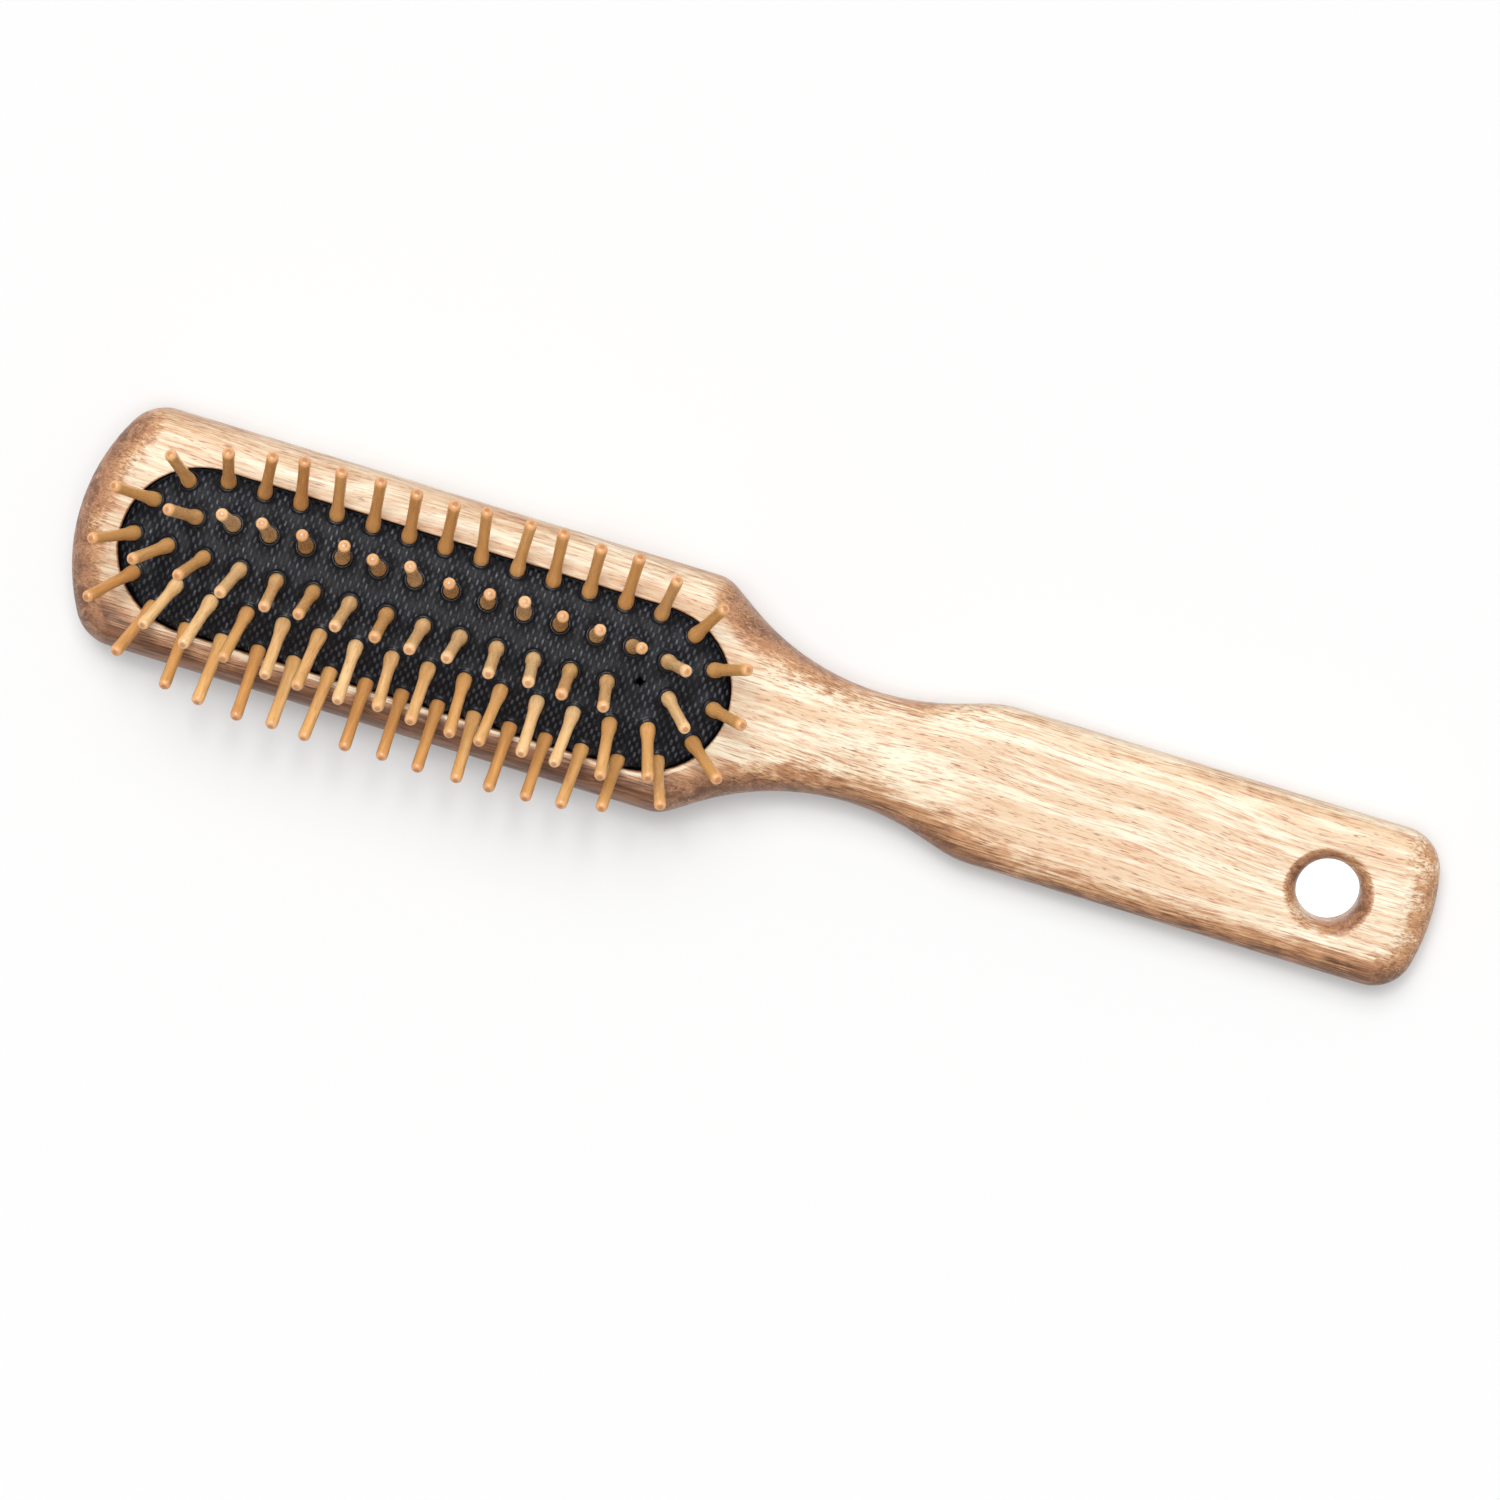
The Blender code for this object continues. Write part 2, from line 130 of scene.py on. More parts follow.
# Pocket and cushion
SLOT_END_STEPS = 40
SLOT_SIDE_STEPS = 48
POCKET_HALF = 36 * MM
POCKET_RADIUS = 13.2 * MM
POCKET_FLOOR = 4 * MM
POCKET_LIP = 0.3 * MM
LIP_STEPS = 4
GROOVE_RADIUS = 14.8 * MM
GROOVE_TOP = 1.2 * MM  # below the face
GROOVE_BOTTOM = 2.6 * MM
DOME_RADIUS = 18.5 * MM
CROWN = 5 * MM
CREST_HALF = 24 * MM
EDGE_RADIUS = 12.9 * MM
MEMBRANE = 1.5 * MM
RIM_TOP = THICKNESS - 1.5 * MM
RIM_BOTTOM = THICKNESS - 2.3 * MM
RIM_RADIUS = 14.5 * MM
LINING_RADIUS = 12.2 * MM
GROWTH = (POCKET_HALF - CREST_HALF) / EDGE_RADIUS
VENT = (34.9 * MM, 1.3 * MM)
VENT_STAR = (1.25 * MM, 0.5 * MM, 0.85 * MM, 0.5 * MM) * 4  # radius at each corner of the slit
VENT_TURN = 0.35

# Pins
RING_RADIUS = 11.8 * MM
RING_PITCH = 5.83 * MM
RING_PINS = 13
RING_END_ANGLES = (-60, -30, 0, 30, 60)
SIDE_ROW_OFFSET = 6.28 * MM
SIDE_ROW_END_OFFSET = 5.5 * MM
SIDE_ROW_PITCH = 5.86 * MM
ROW_PINS = 14
CENTRE_ROW_START = -41.1 * MM
CENTRE_ROW_PITCH = 5.925 * MM
CENTRE_ROW_LAST = 39.8 * MM
SCATTER_SEED = 439450  # the CAD's: the best of 1.4 million tried against measured pin leans
SIDE_LEAN = 41  # leans in degrees, as in the CAD
SIDE_LEAN_FADE_FROM = 22 * MM
SIDE_LEAN_FADE = 0.0165 / MM
OUTER_LEAN_TWIST = 0.12 / MM
INNER_LEAN_OFFSET = -6
END_LEAN = 23.5
END_LEAN_FROM = 24 * MM
END_LEAN_SPAN = 22.8 * MM
END_LEAN_POWER = 1.5
END_LEAN_SIDE_EASE = 0.7
LEAN_SCATTER_ALONG = 3
LEAN_SCATTER_ACROSS = 2.6


# Mesh building


class Builder:
    """Collects vertices with named values, and faces."""

    def __init__(self, *names):
        self.points = []
        self.values = {name: [] for name in names}
        self.faces = []

    def add(self, point, **values):
        self.points.append(tuple(point))
        for name, column in self.values.items():
            column.append(values.get(name, 0.0))
        return len(self.points) - 1

    def loft(self, first, second, closed=True):
        count = len(first)
        for i in range(count if closed else count - 1):
            j = (i + 1) % count
            self.faces.append((first[i], first[j], second[j], second[i]))

    def object(self, name, material):
        mesh = bpy.data.meshes.new(name)
        mesh.from_pydata(self.points, [], self.faces)
        for key, column in self.values.items():
            wide = isinstance(column[0], tuple)
            layer = mesh.attributes.new(key, "FLOAT_VECTOR" if wide else "FLOAT", "POINT")
            field = "vector" if wide else "value"
            layer.data.foreach_set(field, np.array(column, np.float32).ravel())
        mesh.materials.append(material)
        mesh.shade_smooth()
        mesh.update()
        turn_outwards(mesh)
        obj = bpy.data.objects.new(name, mesh)
        bpy.context.scene.collection.objects.link(obj)
        return obj


def turn_outwards(mesh):
    bm = bmesh.new()
    bm.from_mesh(mesh)
    bmesh.ops.recalc_face_normals(bm, faces=bm.faces)
    bm.to_mesh(mesh)
    bm.free()


def triangulate(loops, loose, keep):
    """Triangles over a flat region, as index triples into the loops' points and then the loose
    ones. keep(centroid) says which triangles belong to the region."""
    flat = [Vector(p) for loop in loops for p in loop] + [Vector(p) for p in loose]
    edges = []
    start = 0
    for loop in loops:
        edges += [(start + i, start + (i + 1) % len(loop)) for i in range(len(loop))]
        start += len(loop)
    scaled = [p * 1000 for p in flat]
    points, _, faces, origins, _, _ = delaunay_2d_cdt(scaled, edges, [], 0, 1e-6)
    back = [origin[0] if origin else None for origin in origins]
    kept = []
    for face in faces:
        centroid = sum((points[i] for i in face), Vector((0, 0))) / (1000 * len(face))
        if keep(centroid):
            kept.append(tuple(back[i] for i in face))
    return kept


def smoothstep(low, high, value):
    t = min(1.0, max(0.0, (value - low) / (high - low)))
    return t * t * (3 - 2 * t)


# Outlines


def fillet(before, corner, after, radius):
    """(point, outward normal, room inside) along the arc that rounds one corner of a clockwise
    polygon."""
    back = (before - corner).normalized()
    ahead = (after - corner).normalized()
    turn = math.pi - back.angle(ahead)
    reach = radius * math.tan(turn / 2)
    centre = corner + (back + ahead).normalized() * math.hypot(radius, reach)
    side = 1 if back.cross(ahead) < 0 else -1
    spoke = corner + back * reach - centre
    outward = Vector((back.y, -back.x))
    sign = 1 if spoke.dot(outward) > 0 else -1
    steps = max(2, math.ceil(turn / ARC_STEP))
    places = []
    for i in range(steps + 1):
        angle = side * turn * i / steps
        cos, sin = math.cos(angle), math.sin(angle)
        arm = Vector((spoke.x * cos - spoke.y * sin, spoke.x * sin + spoke.y * cos))
        places.append((centre + arm, arm.normalized() * sign, radius if sign > 0 else 1.0))
    return places


def rounded_polygon(corners):
    """(point, outward normal, room inside) all the way round, with the straight runs divided
    too."""
    arcs = []
    for i, (corner, radius) in enumerate(corners):
        after = corners[(i + 1) % len(corners)][0]
        arcs.append(fillet(corners[i - 1][0], corner, after, radius))
    places = []
    for arc, following in zip(arcs, arcs[1:] + arcs[:1]):
        places += arc
        start, normal, _ = arc[-1]
        span = following[0][0] - start
        count = math.ceil(span.length / LINE_STEP)
        if span.length < SAME_PLACE:
            places.pop()
        for i in range(1, count):
            places.append((start + span * (i / count), normal, 1.0))
    return places


def body_outline():
    half = [(Vector((x - LENGTH / 2, y)), radius) for x, y, radius in OUTLINE_CORNERS]
    other = [(Vector((p.x, -p.y)), radius) for p, radius in half[1:-1]]
    return rounded_polygon(half + other[::-1])


def slot_outline():
    """(share along the slot's straight half, outward normal): a ring of radius r is made of
    share * half + normal * r."""
    places = []
    for side in (1, -1):
        for i in range(SLOT_END_STEPS + 1):
            angle = math.pi * (i / SLOT_END_STEPS - 0.5)
            normal = Vector((side * math.cos(angle), side * math.sin(angle)))
            places.append((side, normal))
        for i in range(1, SLOT_SIDE_STEPS):
            places.append((side * (1 - 2 * i / SLOT_SIDE_STEPS), Vector((0, side))))
    return places


def slot_ring(radius):
    """The x and y of one of the pocket's rings, from the pad's centre."""
    ring = []
    for share, normal in slot_outline():
        ring.append((share * POCKET_HALF + normal.x * radius, normal.y * radius))
    return ring


# Node graphs


class Graph:
    """A material's node tree, built from expressions."""

    def __init__(self, name):
        self.material = bpy.data.materials.new(name)
        self.material.use_nodes = True
        self.tree = self.material.node_tree
        self.shader = self.tree.nodes["Principled BSDF"]

    def feed(self, socket, value):
        if isinstance(value, bpy.types.NodeSocket):
            self.tree.links.new(value, socket)
        elif socket.type == "RGBA":
            socket.default_value = (*value, 1)
        else:
            socket.default_value = value

    def node(self, kind, inputs=(), **settings):
        node = self.tree.nodes.new(kind)
        for key, value in settings.items():
            setattr(node, key, value)
        for key, value in dict(inputs).items():
            self.feed(node.inputs[key], value)
        return node

    def math(self, operation, *values):
        inputs = dict(enumerate(values))
        return self.node("ShaderNodeMath", inputs, operation=operation).outputs[0]

    def add(self, a, b):
        return self.math("ADD", a, b)

    def mul(self, a, b):
        return self.math("MULTIPLY", a, b)

    def vector(self, operation, a, b):
        node = self.node("ShaderNodeVectorMath", {0: a, 1: b}, operation=operation)
        return node.outputs[0]

    def parts(self, vector):
        return self.node("ShaderNodeSeparateXYZ", {0: vector}).outputs

    def joined(self, x, y, z):
        return self.node("ShaderNodeCombineXYZ", {0: x, 1: y, 2: z}).outputs[0]

    def attribute(self, name, output="Fac"):
        return self.node("ShaderNodeAttribute", attribute_name=name).outputs[output]

    def object_mm(self):
        place = self.node("ShaderNodeTexCoord").outputs["Object"]
        return self.vector("MULTIPLY", place, (1000, 1000, 1000))

    def noise(self, place, scale, detail=2.0, roughness=0.5, distortion=0.0):
        """Noise around 0.5. scale is in features per mm along each axis."""
        inputs = {
            "Vector": self.vector("MULTIPLY", place, scale),
            "Scale": 1.0,
            "Detail": detail,
            "Roughness": roughness,
            "Distortion": distortion,
        }
        return self.node("ShaderNodeTexNoise", inputs).outputs["Fac"]

    def smooth(self, value, low, high, out_low=0.0, out_high=1.0):
        inputs = {0: value, 1: low, 2: high, 3: out_low, 4: out_high}
        return self.node("ShaderNodeMapRange", inputs, interpolation_type="SMOOTHSTEP").outputs[0]

    def mix(self, factor, a, b):
        node = self.node("ShaderNodeMix", data_type="RGBA")
        self.feed(node.inputs[0], factor)
        self.feed(node.inputs[6], a)
        self.feed(node.inputs[7], b)
        return node.outputs[2]

    def bump(self, height, distance, strength=1.0):
        inputs = {"Height": height, "Distance": distance, "Strength": strength}
        return self.node("ShaderNodeBump", inputs).outputs[0]

    def finish(self, **sockets):
        for key, value in sockets.items():
            self.feed(self.shader.inputs[key.replace("_", " ")], value)
        return self.material


def srgb(red, green, blue):
    """A linear colour from 8-bit display values."""
    return tuple(((c / 255 + 0.055) / 1.055) ** 2.4 for c in (red, green, blue))


# Materials


def beech_material():
    """Waxed beech: pale bands, tan streaks and short dark dashes along the brush. Where the
    vertex value "stain" rises, the wood turns brown: streaky on the long sides, and mottled
    with pores and pale hairs where "end" says that the fibres are cut across. That value holds
    stain and painted shade."""
    g = Graph("waxed_beech")
    place = g.object_mm()
    wander = g.noise(place, (0.02, 0.05, 0.05), detail=1)
    x, y, z = g.parts(place)
    bent = g.joined(x, g.add(y, g.mul(wander, 6)), z)
    broad = g.noise(bent, (0.015, 0.25, 0.25), detail=2)
    bands = g.noise(bent, (0.05, 0.9, 0.9), detail=3, roughness=0.6)
    streaks = g.noise(bent, (0.16, 3.4, 3.4), detail=3, roughness=0.65)
    dashes = g.smooth(g.noise(bent, (0.45, 6.0, 6.0), detail=1), 0.6, 0.7)
    mottle = g.noise(place, (0.3, 0.4, 0.4), detail=5, roughness=0.62, distortion=0.8)
    pores = g.noise(place, (2.0, 3.2, 3.2), detail=3, roughness=0.7)

    depth = g.add(g.mul(broad, 0.4), g.mul(bands, 0.6))
    face = g.mix(g.smooth(depth, 0.4, 0.58), srgb(231, 222, 198), srgb(215, 187, 154))
    face = g.mix(g.smooth(streaks, 0.47, 0.68, 0, 0.85), face, srgb(200, 144, 107))
    face = g.mix(g.mul(dashes, g.smooth(bands, 0.4, 0.58, 0.2, 0.9)), face, srgb(154, 98, 70))

    tan = g.mix(g.smooth(bands, 0.4, 0.6), srgb(203, 157, 115), srgb(180, 129, 90))
    tan = g.mix(g.smooth(streaks, 0.48, 0.68, 0, 0.8), tan, srgb(148, 99, 67))
    tan = g.mix(g.mul(dashes, 0.7), tan, srgb(102, 66, 46))

    side = g.mix(g.smooth(bands, 0.42, 0.6), srgb(146, 101, 71), srgb(110, 74, 52))
    side = g.mix(g.smooth(streaks, 0.48, 0.62, 0, 0.8), side, srgb(78, 50, 36))
    cut = g.mix(g.smooth(mottle, 0.4, 0.62), srgb(112, 74, 52), srgb(174, 126, 94))
    cut = g.mix(g.smooth(pores, 0.46, 0.62, 0, 0.55), cut, srgb(92, 58, 38))
    hair = g.math("SUBTRACT", g.noise(place, (0.22, 0.22, 0.22), 2, 0.5, 1.5), 0.5)
    hairs = g.smooth(g.math("ABSOLUTE", hair), 0.0, 0.007, 1, 0)
    cut = g.mix(g.mul(hairs, 0.5), cut, srgb(226, 190, 152))
    dark = g.mix(g.attribute("end"), side, cut)

    # stain, with painted shade on the right side, low on the sides and in the recesses
    stain = g.attribute("stain")
    patches = g.noise(place, (0.045, 0.12, 0.12), detail=2)
    rough_edge = g.add(g.mul(g.add(mottle, -0.5), 0.8), g.mul(g.add(streaks, -0.5), 1.2))
    rough_edge = g.add(rough_edge, g.mul(g.add(patches, -0.45), 1.3))
    ragged = g.add(stain, g.mul(rough_edge, g.smooth(stain, 0.02, 0.3)))
    colour = g.mix(g.smooth(ragged, 0.03, 0.5), face, tan)
    colour = g.mix(g.smooth(ragged, 0.4, 0.9), colour, dark)
    height = g.add(g.mul(streaks, 0.6), g.mul(pores, 0.4))
    return g.finish(
        Base_Color=colour,
        Roughness=g.smooth(streaks, 0.3, 0.7, 0.36, 0.5),
        Normal=g.bump(height, 0.04 * MM, 0.5),
    )


def pin_material():
    """Turned wood, lengthways streaks, a different tone on each pin, and paler wood on the inner
    rows as painted light against the shade they cast on each other.
    """
    g = Graph("pin_wood")
    place = g.attribute("grain", "Vector")
    tone = g.attribute("tone")
    shift = g.mul(tone, 57.0)
    moved = g.vector("ADD", place, g.joined(shift, shift, shift))
    streaks = g.noise(moved, (1.6, 1.6, 0.14), detail=3, roughness=0.6)
    fine = g.noise(moved, (6, 6, 0.5), detail=2)
    level = g.add(g.mul(tone, 0.6), g.mul(streaks, 0.6))
    colour = g.mix(g.smooth(level, 0.2, 0.6), srgb(196, 138, 80), srgb(220, 168, 104))
    colour = g.mix(g.smooth(level, 0.6, 1.0), colour, srgb(250, 212, 156))
    colour = g.mix(g.smooth(fine, 0.5, 0.7, 0, 0.5), colour, srgb(168, 112, 66))
    along = g.parts(place)[2]
    colour = g.mix(g.smooth(along, 13.0, 13.6, 0, 0.5), colour, srgb(214, 154, 110))
    colour = g.mix(g.smooth(along, 13.9, 13.99, 0, 0.6), colour, srgb(158, 102, 66))
    return g.finish(
        Base_Color=colour,
        Roughness=g.smooth(fine, 0.3, 0.7, 0.18, 0.32),
        Normal=g.bump(fine, 0.03 * MM, 0.4),
    )


def rubber_material():
    """Black rubber moulded on cloth: short raised dashes across the brush, smooth collars. The
    dashes are painted pale as painted glints, and the collars lighter as painted sheen.
    """
    g = Graph("black_rubber")
    u, v, _ = g.parts(g.attribute("weave", "Vector"))
    cloth = g.joined(u, v, 0.0)
    column = g.add(g.math("DIVIDE", u, 0.62), g.mul(g.noise(cloth, (0.15, 0.15, 1)), 0.6))
    offset = g.mul(g.math("MODULO", g.math("FLOOR", g.add(column, 200.0)), 2.0), 0.5)
    row = g.add(g.math("DIVIDE", v, 2.04), offset)
    across = g.math("ABSOLUTE", g.math("SUBTRACT", g.math("FRACT", column), 0.5))
    along = g.math("ABSOLUTE", g.math("SUBTRACT", g.math("FRACT", row), 0.5))
    dash_and_glint = g.mul(g.smooth(across, 0.12, 0.48, 1, 0), g.smooth(along, 0.08, 0.34, 1, 0))
    wear_and_sheen = g.noise(cloth, (0.5, 0.5, 0.5), detail=3)
    plain = g.math("SUBTRACT", 1.0, g.attribute("collar"))
    dash_and_glint = g.mul(g.mul(dash_and_glint, plain), g.smooth(wear_and_sheen, 0.36, 0.64, 0.15, 1))
    grit = g.noise(cloth, (3, 3, 3), detail=2)
    collar = g.attribute("collar")
    # painted sheen: the collars are painted lighter than the rubber round them
    colour = g.mix(g.mul(collar, 0.6), srgb(3, 4, 7), srgb(24, 27, 35))
    # painted highlight: the raised dashes are painted pale, as glints off the weave
    colour = g.mix(dash_and_glint, colour, srgb(76, 80, 91))
    return g.finish(
        Base_Color=colour,
        Specular_IOR_Level=0.24,
        Roughness=g.smooth(g.math("MAXIMUM", dash_and_glint, g.mul(collar, 0.8)), 0, 1, 0.55, 0.16),
        Normal=g.bump(g.add(dash_and_glint, g.mul(grit, 0.3)), 0.16 * MM, 1.0),
    )


# Wood body


def side_profile(reach):
    """(inset, height, share of the way round) from the top face over the side to the back."""
    rows = [(reach + ROUND_MARGIN, THICKNESS, 0.0)]
    for i in range(ROUND_STEPS + 1):
        share = i / ROUND_STEPS
        angle = share * math.pi / 2
        level = THICKNESS - ROUND_DROP * (1 - math.cos(angle))
        rows.append((reach * (1 - math.sin(angle)), level, share))
    return rows + [(inset, THICKNESS - level, share) for inset, level, share in rows[::-1]]


def band_reach(outline):
    """How far the rounding reaches in from each outline point: further at the ends and waist."""
    raw = []
    for point, normal, _ in outline:
        x = point.x + LENGTH / 2
        ends = smoothstep(*ENDS_SLOPE, abs(normal.x))
        waist = smoothstep(*WAIST_START, x) * (1 - smoothstep(*WAIST_END, x))
        raw.append(ROUND_REACH + ROUND_EXTRA_REACH * max(ends, WAIST_REACH * waist))
    room = [space - ROUND_ROOM for _, _, space in outline]
    capped = averaged([min(pair) for pair in zip(raw, room)], REACH_SMOOTHING)
    return [min(pair) for pair in zip(capped, room)]


def averaged(values, passes):
    for _ in range(passes):
        count = len(values)
        values = [(values[i - 1] + values[i] + values[(i + 1) % count]) / 3 for i in range(count)]
    return values


def band_stain_and_shade(outline):
    """(stain and shade, end) round the outline. Sloped and end parts take more stain, and the
    right side takes more stain and painted shade. End is 1 where the fibres are cut across."""
    stains, ends = [], []
    for point, normal, _ in outline:
        slope = smoothstep(*SLOPE_SPAN, abs(normal.x))
        right = smoothstep(*RIGHT_TURN, -normal.y)
        handle_end = smoothstep(*HANDLE_END, point.x) * smoothstep(*HANDLE_END_SLOPE, normal.x)
        sloped = (SLOPE_STAIN - SLOPE_STAIN_LESS * right) * slope
        stain = SIDE_STAIN + RIGHT_STAIN_AND_SHADE * right + sloped - HANDLE_END_STAIN_LESS * handle_end
        stains.append(stain)
        ends.append(smoothstep(*CUT_SPAN, abs(normal.x)))
    return list(zip(averaged(stains, STAIN_SMOOTHING), averaged(ends, STAIN_SMOOTHING)))


def make_body(material):
    outline = body_outline()
    reach = band_reach(outline)
    stain = band_stain_and_shade(outline)
    b = Builder("stain", "end")
    columns = [side_profile(r) for r in reach]
    rings = []
    for level in range(len(columns[0])):
        ring = []
        for (point, normal, _), column, (dark, end) in zip(outline, columns, stain):
            inset, height, share = column[level]
            place = point - normal * inset
            onset = STAIN_ONSET - STAIN_ONSET_SOONER * max(0, -normal.y)
            value = dark * smoothstep(onset, STAIN_FULL, share) + face_stain_and_shade(place)
            # painted shade with stain: the lower half of the side and the back are darkened
            if height < THICKNESS / 2:
                value = max(value, BACK_STAIN_AND_SHADE * dark)
            vertex = b.add((place.x, place.y, height), stain=min(1.0, value), end=end)
            ring.append(vertex)
        rings.append(ring)
    for ring, following in zip(rings, rings[1:]):
        b.loft(ring, following)
    slot = pocket_rings(b)
    hole = hole_rings(b)
    fill_face(b, [rings[0], slot, hole[0]], THICKNESS)
    fill_face(b, [rings[-1], hole[-1]], 0.0)
    b.points = [(x, y, z * taper(x)) for x, y, z in b.points]
    return b.object("beech_body", material)


def taper(x):
    """The share of the head's thickness that the neck and handle keep."""
    share = (x + LENGTH / 2 - TAPER_START) / (TAPER_END - TAPER_START)
    return 1 - (1 - HANDLE_THICKNESS / THICKNESS) * min(1, max(0, share))


def face_stain_and_shade(place):
    """The face itself browns with stain towards the toe, and darkens with stain and painted shade
    towards the right side of the head.
    """
    x = place.x + LENGTH / 2
    head = 1 - smoothstep(*HEAD_END, x)
    right = smoothstep(*FACE_STAIN_AND_SHADE_SPAN, -place.y) * head
    return TOE_STAIN * (1 - smoothstep(*TOE_STAIN_SPAN, x)) + FACE_STAIN_AND_SHADE * right


def pocket_rings(b):
    """The pocket from its softened lip to its floor. Returns the ring that meets the face."""
    rows = [(POCKET_RADIUS + 2 * POCKET_LIP, THICKNESS)]
    for i in range(LIP_STEPS + 1):
        angle = i / LIP_STEPS * math.pi / 2
        radius = POCKET_RADIUS + POCKET_LIP * (1 - math.sin(angle))
        rows.append((radius, THICKNESS - POCKET_LIP * (1 - math.cos(angle))))
    rows += [
        (POCKET_RADIUS, THICKNESS - GROOVE_TOP),
        (GROOVE_RADIUS, THICKNESS - GROOVE_TOP),
        (GROOVE_RADIUS, THICKNESS - GROOVE_BOTTOM),
        (POCKET_RADIUS, THICKNESS - GROOVE_BOTTOM),
        (POCKET_RADIUS, POCKET_FLOOR),
    ]
    rings = []
    for i, (radius, height) in enumerate(rows):
        ring = []
        for share, normal in slot_outline():
            x = PAD_X + share * POCKET_HALF + normal.x * radius
            # painted shade down the pocket's walls
            dark = 0.0 if i < 2 else POCKET_PAINTED_SHADE
            ring.append(b.add((x, normal.y * radius, height), stain=dark, end=abs(normal.x)))
        rings.append(ring)
    for ring, following in zip(rings, rings[1:]):
        b.loft(ring, following)
    b.faces.append(tuple(rings[-1]))
    return rings[0]


def hole_rings(b):
    """The hanging hole from face to face, with a rounded countersink at each. The first and last
    rings meet the faces."""
    flare = COUNTERSINK_RADIUS - HOLE_RADIUS
    rows = [(COUNTERSINK_RADIUS + COUNTERSINK_MARGIN, THICKNESS, 0.0)]
    for i in range(COUNTERSINK_STEPS + 1):
        share = i / COUNTERSINK_STEPS
        angle = share * math.pi / 2
        radius = HOLE_RADIUS + flare * (1 - math.sin(angle))
        rows.append((radius, THICKNESS - COUNTERSINK_DEPTH * (1 - math.cos(angle)), share))
    rows += [(radius, THICKNESS - height, share) for radius, height, share in rows[::-1]]
    rings = []
    for radius, height, share in rows:
        ring = []
        for i in range(HOLE_SIDES):
            angle = i / HOLE_SIDES * math.tau
            x = HOLE_X + radius * math.cos(angle)
            # fibres cut across, in a band turned onto the wall that faces from the light: partly
            # stain, partly painted shade
            cut = math.cos(angle + HOLE_STAIN_AND_SHADE_TURN) ** 2
            dark = (HOLE_STAIN + HOLE_CUT_STAIN_AND_SHADE * cut) * smoothstep(0, HOLE_STAIN_FULL, share)
            place = (x, radius * math.sin(angle), height)
            ring.append(b.add(place, stain=dark, end=1.0))
        rings.append(ring)
    for ring, following in zip(rings, rings[1:]):
        b.loft(ring, following)
    return rings


def fill_face(b, rings, height):
    """Fills the flat region inside the first ring and outside the others."""
    loops = [[b.points[i][:2] for i in ring] for ring in rings]
    indices = [i for ring in rings for i in ring]
    polygons = [np.array(loop) for loop in loops]
    loose = []
    for i in range(int(LENGTH / FACE_GRID)):
        for j in range(-FACE_ROWS, FACE_ROWS + 1):
            place = (i * FACE_GRID - LENGTH / 2, j * FACE_GRID)
            near = min(np.hypot(*(p - place).T).min() for p in polygons)
            if near > FACE_CLEAR and in_region(place, polygons):
                loose.append(place)
                stain = face_stain_and_shade(Vector(place))
                indices.append(b.add((*place, height), stain=stain))
    kept = triangulate(loops, loose, lambda c: in_region(c, polygons))
    b.faces += [tuple(indices[i] for i in face) for face in kept]


def in_region(place, polygons):
    return in_polygon(place, polygons[0]) and not any(in_polygon(place, p) for p in polygons[1:])


def in_polygon(place, polygon):
    x, y = place[0], place[1]
    ahead = np.roll(polygon, -1, axis=0)
    crosses = (polygon[:, 1] > y) != (ahead[:, 1] > y)
    run = ahead[crosses] - polygon[crosses]
    hits = polygon[crosses][:, 0] + run[:, 0] * (y - polygon[crosses][:, 1]) / run[:, 1] > x
    return hits.sum() % 2 == 1


# Pin layout, the same rule as the CAD's


def ring_radius_at(x, y):
    """The radius of the dome's ring that passes through a point given from the pad's centre."""
    beyond = abs(x) - CREST_HALF
    if beyond <= GROWTH * abs(y):
        return abs(y)
    rest = 1 - GROWTH**2
    root = math.sqrt((beyond * GROWTH) ** 2 + rest * (beyond**2 + y**2))
    return (root - beyond * GROWTH) / rest


def dome_height(x, y):
    radius = min(ring_radius_at(x, y), DOME_RADIUS)
    return THICKNESS + CROWN - DOME_RADIUS + math.sqrt(DOME_RADIUS**2 - radius**2)


def dome_point(x, y):
    return Vector((PAD_X + x, y, dome_height(x, y)))


def dome_normal(x, y):
    step = 0.05 * MM
    slope_x = (dome_height(x + step, y) - dome_height(x - step, y)) / (2 * step)
    slope_y = (dome_height(x, y + step) - dome_height(x, y - step)) / (2 * step)
    return Vector((-slope_x, -slope_y, 1)).normalized()


def pin_pose(x, y, outer, scatter):
    """(base point, unit direction) of the pin at a place given from the pad's centre."""
    fade = 1 - SIDE_LEAN_FADE * max(0, abs(x) - SIDE_LEAN_FADE_FROM)
    across = SIDE_LEAN * y / RING_RADIUS * fade
    across += OUTER_LEAN_TWIST * x if outer else INNER_LEAN_OFFSET
    beyond = max(0, abs(x) - END_LEAN_FROM) / END_LEAN_SPAN
    ease = 1 - END_LEAN_SIDE_EASE * (y / RING_RADIUS) ** 6
    along = math.copysign(END_LEAN * beyond**END_LEAN_POWER * ease, x)
    along += LEAN_SCATTER_ALONG * scatter.uniform(-1, 1)
    across += LEAN_SCATTER_ACROSS * scatter.uniform(-1, 1)
    lean_x = math.sin(math.radians(along))
    lean_y = math.sin(math.radians(across))
    direction = Vector((lean_x, lean_y, math.sqrt(1 - lean_x**2 - lean_y**2)))
    return dome_point(x, y), direction


